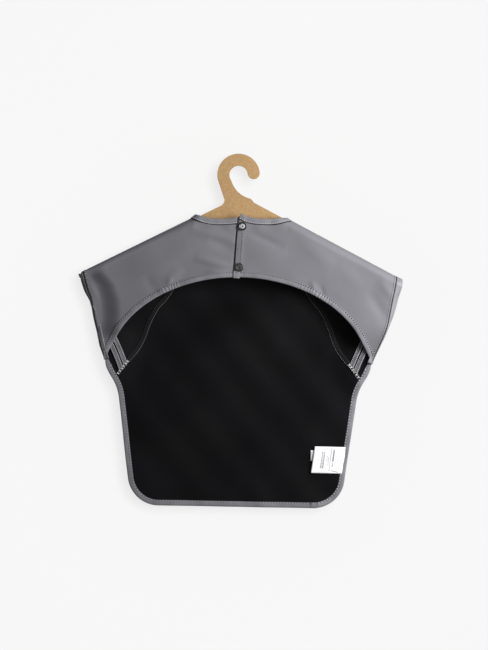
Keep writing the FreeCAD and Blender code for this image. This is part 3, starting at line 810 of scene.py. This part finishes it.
def raglan_seam(side, word):
    """Taped seam inside the front, and its ridge and topstitch outside."""
    run = layer_track("front", on_side(curve(RAGLAN[:-2], 120), side), (side, 0))
    run["at"] = run["at"] - 0.55 * run["out"]
    section = [(3.0, -0.2), (2.6, -0.5), (1.5, -0.55), (0.3, -0.75), (-0.3, -0.75), (-1.5, -0.55),
               (-2.6, -0.5), (-3.0, -0.2), (-2.4, 0.2), (2.4, 0.2)]
    piece = sweep(word + "_raglan_tape", run, section, [TAPE_AND_SHADOW], puff=wobble(run, 0.1, side + 2))
    sewn(piece, side, "bib", (word + "_raglan_seam",))
    for letter, inset, colour, radius in (("a", -2.4, DIM_THREAD, 0.34), ("b", 2.4, DARK_THREAD, 0.3)):
        sewn_row(side, "bib", word + "_raglan_stitches_" + letter, run, inset, -0.6, colour,
                 pitch=2.5, length=1.3, radius=radius)
    run = layer_track("front", on_side(curve(RAGLAN, 140), side), (side, 0))
    section = [(1.3, 0.38), (0.7, 0.62), (0.15, 0.5), (0.0, 0.3), (-0.15, 0.5), (-0.7, 0.62), (-1.3, 0.38),
               (0, 0.2)]
    sewn(sweep(word + "_raglan_ridge", run, section, [EDGING]), side, "bib")
    sewn_row(side, "bib", word + "_raglan_topstitch", run, 2.2, 0.45, THREAD)


def underarm(side, word):
    """Two turned-in strips, and the overlocked seam that they end in."""
    low, end = np.array(UNDERARM, float)
    unit = (end - low) / np.linalg.norm(end - low)
    section = [(3.1, -0.1), (2.9, -0.8), (2.4, -0.95), (2, -0.6), (1.6, -0.95), (1, -1.3), (0.4, -1),
               (0, -0.6), (-0.5, -1.1), (-1.1, -1.35), (-1.6, -0.95), (-2, -0.6), (-2.4, -0.95),
               (-2.9, -0.8), (-3.1, -0.1), (-2.6, 0.2), (2.6, 0.2)]
    for k, start in enumerate((4.4, 12.6)):
        foot = low + unit * start
        line = curve([foot, foot + (6.0, -15.0), foot + (11.4, -27.0), foot + (17.0, -38.0)], 50)
        run = layer_track("front", on_side(line, side), (side, 0))
        run["at"] = run["at"] - (0.9 + 0.4 * k) * run["out"]
        strip = word + "_hem_strip_" + "ab"[k]
        piece = sweep(strip, run, section, [SHADED], puff=wobble(run, 0.12, k + side))
        sewn(piece, side, "bib", () if k else (word + "_underarm_strips",))
        for letter, inset in (("a", 2.1), ("b", -2.3)):
            sewn_row(side, "bib", strip + "_stitches_" + letter, run, inset, -1.0, THREAD,
                     pitch=2.2, length=1.6, radius=0.34)
    line = evenly(np.array([low - unit * 1.5, end + unit * 2.0]), 40)
    run = layer_track("front", on_side(line, side), (side, 0))
    for k, lean in enumerate((0.8, -1.15)):
        piece = stitches(word + "_overlock_" + "ab"[k], run, 0.0, -2.4, WHITE_THREAD, pitch=3.5, length=4.6,
                         radius=0.3, lean=lean)
        sewn(piece, side, "bib", () if k else (word + "_underarm_overlock",))


for side, word in SIDES:
    arch_binding(side, word)
    neck_edging(side, word)
    sleeve_hem(side, word)
    raglan_seam(side, word)
    underarm(side, word)


# ------------ bindings of the front

def front_neck():
    """Binding round the front of the neck."""
    line = np.vstack([curve(FRONT_NECK[1], 120)[::-1], on_side(curve(FRONT_NECK[-1], 120), -1)[1:]])
    run = layer_track("front", line, line - (0, 12.0))
    puff = wobble(run, 0.12, 8)
    piece = sweep("front_neck_edging", run, binding_section(NECK_BIND), [EDGING], puff=puff)
    sewn(piece, "front", "bib", ("neck_binding_front",))
    sewn_row("front", "bib", "front_neck_stitches", run, NECK_SEAM, 0.85, LIGHT_THREAD)


def side_and_hem():
    """Binding down one side, along the hem and up the other, as its track."""
    arc = hem_arc()
    straight = evenly(np.array([SIDE_TOP, arc[0]]), 40)
    hem = evenly(np.array([arc[-1], (0, HEM_DROP)]), 34)
    half = np.vstack([side_line(60), straight[1:], arc[1:], hem[1:]])
    outline = evenly(np.vstack([half, on_side(half[::-1], -1)[1:]]), 420)
    ahead = units(np.gradient(outline, axis=0))
    run = layer_track("front", outline, np.stack([-ahead[:, 1], ahead[:, 0]], axis=1))
    from_end = np.minimum(np.arange(len(outline)), np.arange(len(outline))[::-1])
    taper = 0.7 + 0.3 * smooth(from_end / 6)
    piece = sweep("side_and_hem_binding", run, binding_section(), [EDGING], narrow=taper,
                  puff=wobble(run, 0.16, 1) * taper ** 0.5)
    sewn(piece, "front", "skirt bend",
         ("right_side_binding", "left_side_binding", "hem_binding"))
    return run


def binding_lap(run):
    """The hem binding's two ends lap beside the right corner, with a row of stitches across each."""
    u, v = run["at"][:, 0], -run["at"][:, 2]
    lap = part_of(run, (v > 340) & (np.abs(u - 98) < 5))
    section = [(a * 1.03 - 0.1, b * 1.22) for a, b in binding_section()]
    piece = sweep("binding_lap", lap, section, [EDGING], puff=wobble(lap, 0.1, 4))
    sewn(piece, "front", "skirt bend")
    for letter, k in (("a", 0), ("b", -1)):
        ahead, across, out = [np.repeat(lap[key][k][None], 12, axis=0) for key in ("ahead", "across", "out")]
        row = {"at": lap["at"][k] + np.linspace(0.6, 5.6, 12)[:, None] * across,
               "ahead": across, "across": ahead, "out": out}
        sewn_row("front", "skirt bend", "binding_lap_stitches_" + letter, row, 0.0, -1.3, THREAD,
                 pitch=1.6, length=1.2, radius=0.3, hole=PIT_SHADE_GREY)


front_neck()
hem_run = side_and_hem()
binding_lap(hem_run)
for word, lift in (("inner", -0.88), ("outer", 0.88)):
    sewn_row("front", "skirt bend", "hem_stitches_" + word, part_of(hem_run, slice(5, -5)), BIND_SEAM, lift,
             LIGHT_THREAD, pitch=3.7, radius=0.44, hole=PIT_SHADE_GREY)


# ------------ placket

def placket_run(first, last, count, inset=0.0):
    """Track down the placket, at a distance from its free edge."""
    v = np.linspace(first, last, count)
    return layer_track("right", np.stack([edge_u(v) + inset, v], axis=1), (1, 0))


for letter, inset, colour, pit_shading in (("a", 1.7, LIGHT_THREAD, None), ("b", 7.4, THREAD, PIT_SHADE)):
    sewn_row(1, "right_flap", "placket_stitches_" + letter, placket_run(14.5, 53, 40, inset), 0, 0.5, colour,
             pitch=2.3, length=1.0, radius=0.34, hole=pit_shading,
             stands_for=("placket_stitches",) if letter == "a" else ())

# black strip rolled round the placket's free edge: painted shadow that this edge casts on the left half
section = [(1.6, 0.30), (0.2, 0.40), (-0.6, 0.25), (-0.95, -0.1), (-0.6, -0.5), (0.4, -0.6), (1.6, -0.5)]
piece = sweep("placket_turned_edge", placket_run(-1.0, 70.5, 70), section, [TAPE_AND_SHADOW])
sewn(piece, 1, "right_flap")

# folded end of the placket over the open back's binding
run = placket_run(63.6, 72.6, 14, 0.2)
run["at"] = run["at"] + 0.8 * run["out"]
section = [(-0.7, -0.9), (-0.8, -0.2), (-0.4, 0.2), (0.8, 0.42), (2.4, 0.2), (4, 0.46), (6.4, 0.4),
           (7.4, 0.1), (8, -0.6), (4, -0.4), (0, -0.6)]
piece = sweep("placket_end", run, section, [EDGING], puff=wobble(run, 0.25, 2))
sewn(piece, 1, "right_flap")
# black strip along one side of the folded end: painted shadow under its edge
section = [(8.9, -0.5), (8.8, 0.0), (8.3, 0.15), (7.9, -0.1), (7.9, -0.6)]
sewn(sweep("placket_end_seam", run, section, [TAPE_AND_SHADOW]), 1, "right_flap")

# facing strips: distances from the placket's free edge, and how far off the cloth they lie
FACING = {1: (5.0, 16.0, -0.8), -1: (2.0, 15.5, 0.75)}
for side, word in SIDES:
    first, last, lift = FACING[side]
    rows, cols = 55, 16
    v, across = np.meshgrid(np.linspace(8, 62, rows), np.linspace(first, last, cols), indexing="ij")
    line = np.stack([edge_u(v) + across, v], axis=-1).reshape(-1, 2)
    points = laid(word, line) + lift * normals(word, line)
    piece = mesh_piece(word + "_placket_strip", points, grid_faces(rows, cols, 0, side > 0), [EDGING])
    thickened(piece, 0.4)
    sewn(piece, side, word + "_flap", (word + "_placket_facing",))

# ------------ snaps, as (radius, height) steps
RING_CAP = [(5.2, 0), (5.4, 0.5), (5.35, 1.1), (5, 1.65), (4.5, 1.85), (4, 1.75), (3.4, 1.3), (3, 1.05)]
RING_FACE = [(3.5, 0.6), (3.0, 1.05), (2.8, 1.12), (2.0, 1.3), (1.3, 1.35), (1.0, 1.2), (0.9, 0.9)]
BALL_CAP = [(5.3, 0.0), (5.45, 0.5), (5.4, 1.0), (5.1, 1.5), (4.6, 1.75), (4.1, 1.7), (3.8, 1.5)]
BALL_FACE = [(3.9, 1.0), (3.8, 1.45), (3.4, 1.5), (2.2, 1.85), (1.7, 1.85), (1.3, 1.5), (1.1, 1.2)]
DIMPLE = [(1.0, 0.8), (0.9, 1.0), (0.5, 0.95), (0.2, 0.9)]
SOCKET = [(1.2, -1.2), (4.8, -1.1), (5.0, -0.9), (5.0, 0.2), (4.7, 0.5), (2.9, 0.55), (2.6, 0.4), (2.4, -0.5),
          (1.2, -0.6)]
STUD = [(4.8, 0.0), (4.8, 0.35), (4.4, 0.5), (2.2, 0.6), (1.9, 0.9), (1.95, 1.3), (1.6, 1.55), (0.6, 1.6)]
SNAP_LOOKS = [("upper", RING_CAP, RING_FACE, SNAP_FACE), ("lower", BALL_CAP, BALL_FACE, SNAP_BALL)]
for (u, v), (word, cap, face, finish) in zip(SNAPS, SNAP_LOOKS):
    over, under = float(depth_of("right", u, v)), float(depth_of("left", u, v))
    for part, flap, y, steps, colour, out, stands_for in (
            ("cap", "right_flap", over - 0.35, [(4.6, -0.3)] + cap, SNAP, -1, "snap_caps"),
            ("face", "right_flap", over - 0.35, face, finish, -1, None),
            ("dimple", "right_flap", over - 0.35, DIMPLE, SNAP, -1, None),
            ("socket", "right_flap", over + 1.55, SOCKET, SNAP, 1, "snap_sockets"),
            ("stud", "left_flap", under - 1.05, STUD, SNAP, -1, "snap_studs"),
            ("back", "left_flap", under + 0.4, [(4.9, -0.2)] + BALL_CAP, SNAP, 1, "snap_back_caps")):
        piece = lathe(word + "_snap_" + part, u, v, y, steps, [colour], face=out)
        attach(piece, flap)
        if stands_for and word == "upper":
            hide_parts(stands_for)


# ------------ care label

def on_label(piece):
    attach(piece, "label")
    return piece


def leaf(name, corners, lift, curl, rows=26, cols=30):
    """Label leaf from its four flat corners, lifted off the lining; its free end curls further away."""
    tl, tr, br, bl = [np.array(c, float) for c in corners]
    s = np.linspace(0, 1, rows)[:, None, None]
    t = np.linspace(0, 1, cols)[None, :, None]
    flat = (1 - s) * (1 - t) * tl + (1 - s) * t * tr + s * (1 - t) * bl + s * t * br
    points = laid("front", flat.reshape(-1, 2)).reshape(rows, cols, 3)
    free = (1 - t[..., 0]) ** 2
    points[..., 1] -= 0.4 + lift + curl * free + 0.12 * np.sin(t[..., 0] * 9 + s[..., 0] * 3)
    piece = mesh_piece(name, points.reshape(-1, 3), grid_faces(rows, cols), [RIBBON])
    modifier = piece.modifiers.new("ribbon", "SOLIDIFY")
    modifier.thickness = 0.28 * MM
    modifier.offset = 0
    return on_label(piece), points


corners = [(92.6, 286.4), (136.4, 287.6), (134.7, 301.0), (92.8, 299.6)]
tab, tab_points = leaf("size_tab_leaf", corners, lift=0.75, curl=0.2, rows=12)
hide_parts("size_tab")
corners = [(97.9, 281.4), (136.6, 282.0), (132.5, 315.2), (93.6, 315.0)]
main, main_points = leaf("care_label_leaf", corners, lift=1.4, curl=1.3)
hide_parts("care_label")
corners = [(119.5, 282.8), (130.9, 283.2), (127.8, 313.8), (115.8, 311.5)]
fold, fold_points = leaf("care_label_turn", corners, lift=1.72, curl=0.12, rows=24, cols=12)
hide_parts("care_label_fold")


PRINT_LIFT = 0.34


def printed(name, leaf_points, marks):
    """Flat printed marks on a leaf: (across, down, width, height), as shares of the leaf."""
    rows, cols = leaf_points.shape[:2]
    points, faces = [], []
    for t0, s0, w, h in marks:
        first = len(points)
        for s in (s0, s0 + h):
            for t in (t0, t0 + w):
                i, j = s * (rows - 1), t * (cols - 1)
                i0, j0 = min(int(i), rows - 2), min(int(j), cols - 2)
                a, b = i - i0, j - j0
                p = ((1 - a) * (1 - b) * leaf_points[i0, j0] + (1 - a) * b * leaf_points[i0, j0 + 1]
                     + a * (1 - b) * leaf_points[i0 + 1, j0] + a * b * leaf_points[i0 + 1, j0 + 1])
                points.append(p - (0, PRINT_LIFT, 0))
        faces.append((first, first + 1, first + 3, first + 2))
    return on_label(mesh_piece(name, points, faces, [PRINT]))


# plain marks only: a column of open boxes, two thin columns of dashes, and a bold one on the fold
marks = []
for k in range(6):
    marks += [(0.27, 0.20 + 0.105 * k, 0.018, 0.07), (0.35, 0.20 + 0.105 * k, 0.018, 0.07),
              (0.27, 0.20 + 0.105 * k, 0.10, 0.014), (0.30, 0.27 + 0.105 * k, 0.07, 0.014)]
for across, down, dashes in ((0.45, 0.34, 3), (0.50, 0.30, 5)):
    marks += [(across, down + 0.085 * k, 0.014, 0.05 + 0.015 * (k % 2)) for k in range(dashes)]
fold_marks = [(0.22, 0.10 + 0.072 * k, 0.16, 0.052) for k in range(7)]
fold_marks += [(0.24, 0.66 + 0.06 * k, 0.10, 0.04) for k in range(3)]
print_piece = printed("care_label_print", main_points, marks)
fold_print = printed("care_label_turn_print", fold_points, fold_marks)

# ------------ what each cloth stands for
for side, word in SIDES:
    cloth = cloths[side]
    flap_blend(cloth)
    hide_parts(word + "_sleeve_panel", word + "_back_half")
skirt_blend(front)
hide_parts("front_panel_upper", "front_panel_lower")

card = frame["nodes"]["card_hanger"]
card.data.materials.clear()
card.data.materials.append(KRAFT)
bevel = card.modifiers.new("edge", "BEVEL")
bevel.width = 0.3 * MM
bevel.segments = 2
bevel.limit_method = "ANGLE"

# ------------ room, light and camera
CAMERA_DISTANCE = 2.257
LOOK_AT = (0.0101, 0.0, -0.1874)
ROLL = math.radians(1.0)
WALL_Y, FLOOR_Z = 0.16, -0.67
PALE = 0.88


def slab(name, corners, see_through):
    """Plain pale wall or floor; one that is see-through hides nothing when it is seen from behind."""
    data = bpy.data.meshes.new(name)
    data.from_pydata(corners, [], [(0, 1, 2, 3)])
    m = material(name + "_paint", (PALE * 0.995,) * 3 + (1,), (PALE,) * 3 + (1,), (2, 2), (0.9, 1.0),
                 [("noise", 60, 0.02)], Specular_IOR_Level=0.0)
    if see_through:
        tree, link = m.node_tree, m.node_tree.links.new
        mix = node(tree, "MixShader")
        link(node(tree, "NewGeometry").outputs["Backfacing"], mix.inputs["Fac"])
        link(tree.nodes["Principled BSDF"].outputs["BSDF"], mix.inputs[1])
        link(node(tree, "BsdfTransparent").outputs["BSDF"], mix.inputs[2])
        link(mix.outputs["Shader"], tree.nodes["Material Output"].inputs["Surface"])
    data.materials.append(m)
    return placed(name, data)


wall = slab("wall", [(-4, WALL_Y, -4), (4, WALL_Y, -4), (4, WALL_Y, 4), (-4, WALL_Y, 4)], True)
wall.visible_diffuse = wall.visible_glossy = wall.visible_shadow = False
floor = slab("floor", [(-4, -4, FLOOR_Z), (4, -4, FLOOR_Z), (4, 4, FLOOR_Z), (-4, 4, FLOOR_Z)], False)
floor.visible_diffuse = False

sky = bpy.data.worlds.new("studio")
bpy.context.scene.world = sky
sky.use_nodes = True
tree, link = sky.node_tree, sky.node_tree.links.new
plain = tree.nodes["Background"]
fill(plain, {"Color": (1, 1, 1, 1), "Strength": 0.19})
seen = node(tree, "Background", Color=(0.93, 0.93, 0.93, 1))
mix = node(tree, "MixShader")
link(node(tree, "LightPath").outputs["Is Camera Ray"], mix.inputs["Fac"])
link(plain.outputs["Background"], mix.inputs[1])
link(seen.outputs["Background"], mix.inputs[2])
link(mix.outputs["Shader"], tree.nodes["World Output"].inputs["Surface"])


def lamp(name, kind, towards, energy, at=(0, 0, 0), **values):
    """Light that shines along a direction."""
    data = bpy.data.lights.new(name, kind)
    data.energy = energy
    for key, value in values.items():
        setattr(data, key, value)
    piece = placed(name, data)
    piece.rotation_euler = Vector(towards).to_track_quat("-Z", "Y").to_euler()
    piece.location = at
    return piece


lit, lit_wall, lit_floor = [bpy.data.collections.new("lit_" + word) for word in ("bib", "wall", "floor")]
for piece in bpy.data.objects:
    if piece.type == "MESH":
        {wall: lit_wall, floor: lit_floor}.get(piece, lit).objects.link(piece)
# the wall's own sun casts no shadow, and its lamp near the camera gives the bib's soft one
lights = [
    (lamp("wall_sun", "SUN", (0, 1, 0), 2.34, use_shadow=False), lit_wall),
    (lamp("wall_lamp", "AREA", (-0.05, 1.0, -0.035), 8.2, at=(0.14, -2.25, -0.11), shape="DISK", size=0.26),
     lit_wall),
    (lamp("floor_sun", "SUN", (-0.1, 0.1, -1.0), 2.55, angle=math.radians(38)), lit_floor),
    (lamp("bib_sun", "SUN", (-1.0, 0.95, -0.55), 0.65, angle=math.radians(20)), lit),
    (lamp("back_fill", "SUN", (0.3, -1.0, -0.4), 1.6, angle=math.radians(60)), lit),
    (lamp("side_box", "AREA", (-0.8, 0.5, -0.25), 11.4, at=(0.60, -0.40, 0.02), shape="RECTANGLE", size=0.35,
          size_y=0.6), lit),
]
for light, receivers in lights:
    light.light_linking.receiver_collection = receivers

camera_data = bpy.data.cameras.new("camera")
camera_data.lens = 100
camera_data.sensor_width = 36
camera_data.clip_end = 50
camera = placed("camera", camera_data)
camera.matrix_world = Matrix(((math.cos(ROLL), -math.sin(ROLL), 0, LOOK_AT[0]),
                              (0, 0, -1, -CAMERA_DISTANCE),
                              (math.sin(ROLL), math.cos(ROLL), 0, LOOK_AT[2]),
                              (0, 0, 0, 1)))
bpy.context.scene.camera = camera
bpy.context.scene.view_settings.view_transform = "Standard"
